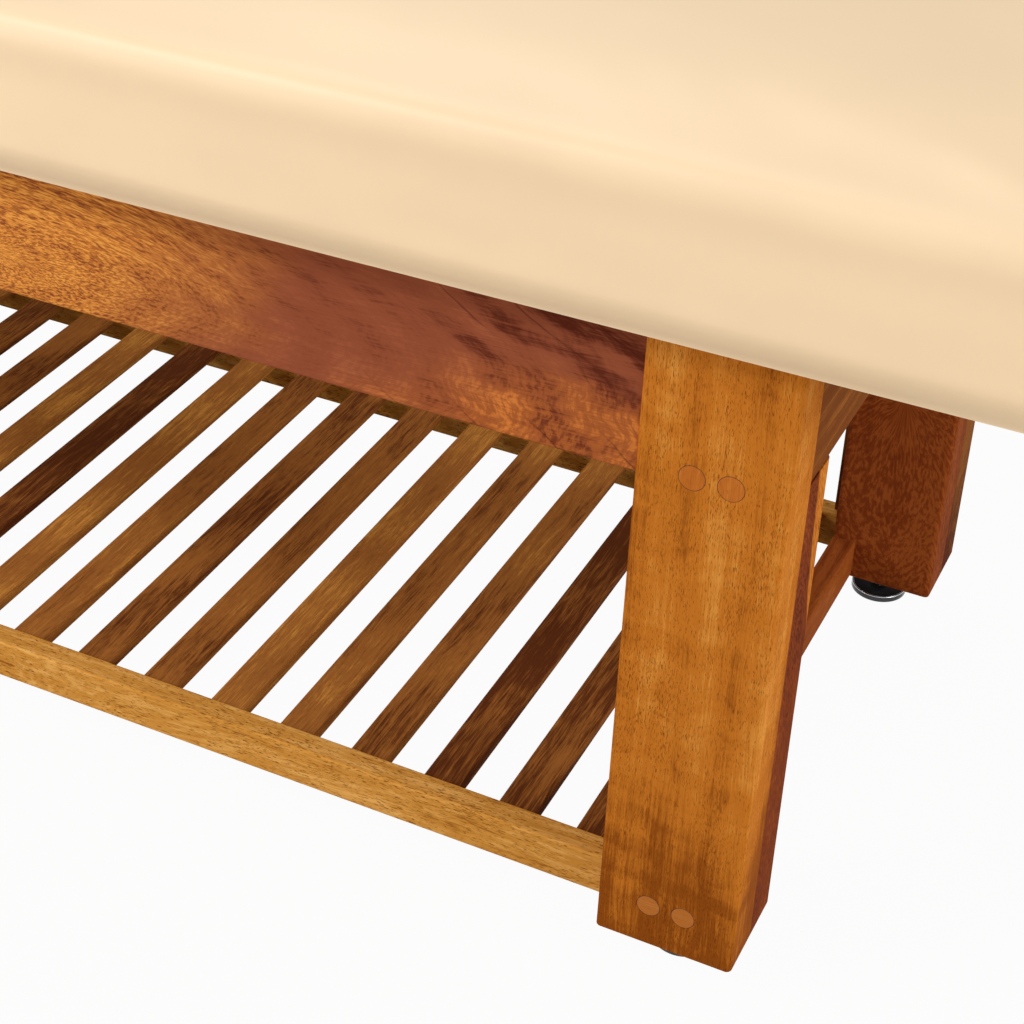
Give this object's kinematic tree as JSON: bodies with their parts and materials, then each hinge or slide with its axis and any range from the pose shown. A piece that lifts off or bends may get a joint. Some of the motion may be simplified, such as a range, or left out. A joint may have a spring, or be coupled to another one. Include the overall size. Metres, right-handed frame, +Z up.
{
  "type": "spa treatment table",
  "caption": "Wooden spa treatment table with a thick padded top, two-board legs, deep aprons, a slatted lower shelf and levelling feet.",
  "frame": {"origin": "on the floor under the middle of the table, at the underside of its feet", "axes": "+X along the table's length, towards the end seen in the picture; +Y across it, away from the side seen; +Z up"},
  "size_m": [1.95, 0.77, 0.7797],
  "materials": {
    "pad_vinyl": "soft satin",
    "foam": "matt",
    "plywood": "raw",
    "batten_wood": "raw",
    "leg_outer_wood": "satin varnish",
    "leg_inner_wood": "satin varnish",
    "side_apron_wood": "satin varnish",
    "end_apron_wood": "satin varnish",
    "shelf_rail_wood": "satin varnish",
    "cross_rail_wood": "satin varnish",
    "slat_wood": "satin varnish",
    "plug_wood": "satin varnish",
    "glide_steel": "satin",
    "stem_steel": "bright",
    "glide_plastic": "matt",
    "zinc_steel": "zinc plated"
  },
  "bodies": {
    "table": {"cross_rail_left": "cross_rail_wood", "cross_rail_right": "cross_rail_wood", "deck_bearer_left": "batten_wood", "deck_bearer_right": "batten_wood", "deck_board": "plywood", "end_apron_left": "end_apron_wood", "end_apron_right": "end_apron_wood", "end_cleat_left": "batten_wood", "end_cleat_right": "batten_wood", "foam_core": "foam", "leg_inner_board_back_left": "leg_inner_wood", "leg_inner_board_back_right": "leg_inner_wood", "leg_inner_board_front_left": "leg_inner_wood", "leg_inner_board_front_right": "leg_inner_wood", "leg_inserts": "zinc_steel", "leg_outer_board_back_left": "leg_outer_wood", "leg_outer_board_back_right": "leg_outer_wood", "leg_outer_board_front_left": "leg_outer_wood", "leg_outer_board_front_right": "leg_outer_wood", "leg_plugs_lower": "plug_wood", "leg_plugs_upper": "plug_wood", "leg_screws": "zinc_steel", "pad_cover": "pad_vinyl", "shelf_rail_back": "shelf_rail_wood", "shelf_rail_front": "shelf_rail_wood", "shelf_slat_01": "slat_wood", "shelf_slat_02": "slat_wood", "shelf_slat_03": "slat_wood", "shelf_slat_04": "slat_wood", "shelf_slat_05": "slat_wood", "shelf_slat_06": "slat_wood", "shelf_slat_07": "slat_wood", "shelf_slat_08": "slat_wood", "shelf_slat_09": "slat_wood", "shelf_slat_10": "slat_wood", "shelf_slat_11": "slat_wood", "shelf_slat_12": "slat_wood", "shelf_slat_13": "slat_wood", "shelf_slat_14": "slat_wood", "shelf_slat_15": "slat_wood", "shelf_slat_16": "slat_wood", "shelf_slat_17": "slat_wood", "side_apron_back": "side_apron_wood", "side_apron_front": "side_apron_wood", "side_cleat_back": "batten_wood", "side_cleat_front": "batten_wood"},
    "stem_front_left": {"glide_stem_front_left": "stem_steel"},
    "foot_front_left": {"glide_base_front_left": "glide_steel", "glide_ring_front_left": "glide_plastic"},
    "stem_front_right": {"glide_stem_front_right": "stem_steel"},
    "foot_front_right": {"glide_base_front_right": "glide_steel", "glide_ring_front_right": "glide_plastic"},
    "stem_back_left": {"glide_stem_back_left": "stem_steel"},
    "foot_back_left": {"glide_base_back_left": "glide_steel", "glide_ring_back_left": "glide_plastic"},
    "stem_back_right": {"glide_stem_back_right": "stem_steel"},
    "foot_back_right": {"glide_base_back_right": "glide_steel", "glide_ring_back_right": "glide_plastic"}
  },
  "joints": [
    {"name": "height_front_left", "type": "slide", "parent": "table", "child": "stem_front_left", "axis": [0, 0, 1], "range_m": [-0.012, 0.01]},
    {"name": "swivel_front_left", "type": "hinge", "parent": "stem_front_left", "child": "foot_front_left", "pos_m": [-0.69, -0.292, 0], "axis": [0, 0, 1], "continuous": true},
    {"name": "height_front_right", "type": "slide", "parent": "table", "child": "stem_front_right", "axis": [0, 0, 1], "range_m": [-0.012, 0.01]},
    {"name": "swivel_front_right", "type": "hinge", "parent": "stem_front_right", "child": "foot_front_right", "pos_m": [0.69, -0.292, 0], "axis": [0, 0, 1], "continuous": true},
    {"name": "height_back_left", "type": "slide", "parent": "table", "child": "stem_back_left", "axis": [0, 0, 1], "range_m": [-0.012, 0.01]},
    {"name": "swivel_back_left", "type": "hinge", "parent": "stem_back_left", "child": "foot_back_left", "pos_m": [-0.69, 0.292, 0], "axis": [0, 0, 1], "continuous": true},
    {"name": "height_back_right", "type": "slide", "parent": "table", "child": "stem_back_right", "axis": [0, 0, 1], "range_m": [-0.012, 0.01]},
    {"name": "swivel_back_right", "type": "hinge", "parent": "stem_back_right", "child": "foot_back_right", "pos_m": [0.69, 0.292, 0], "axis": [0, 0, 1], "continuous": true}
  ]
}
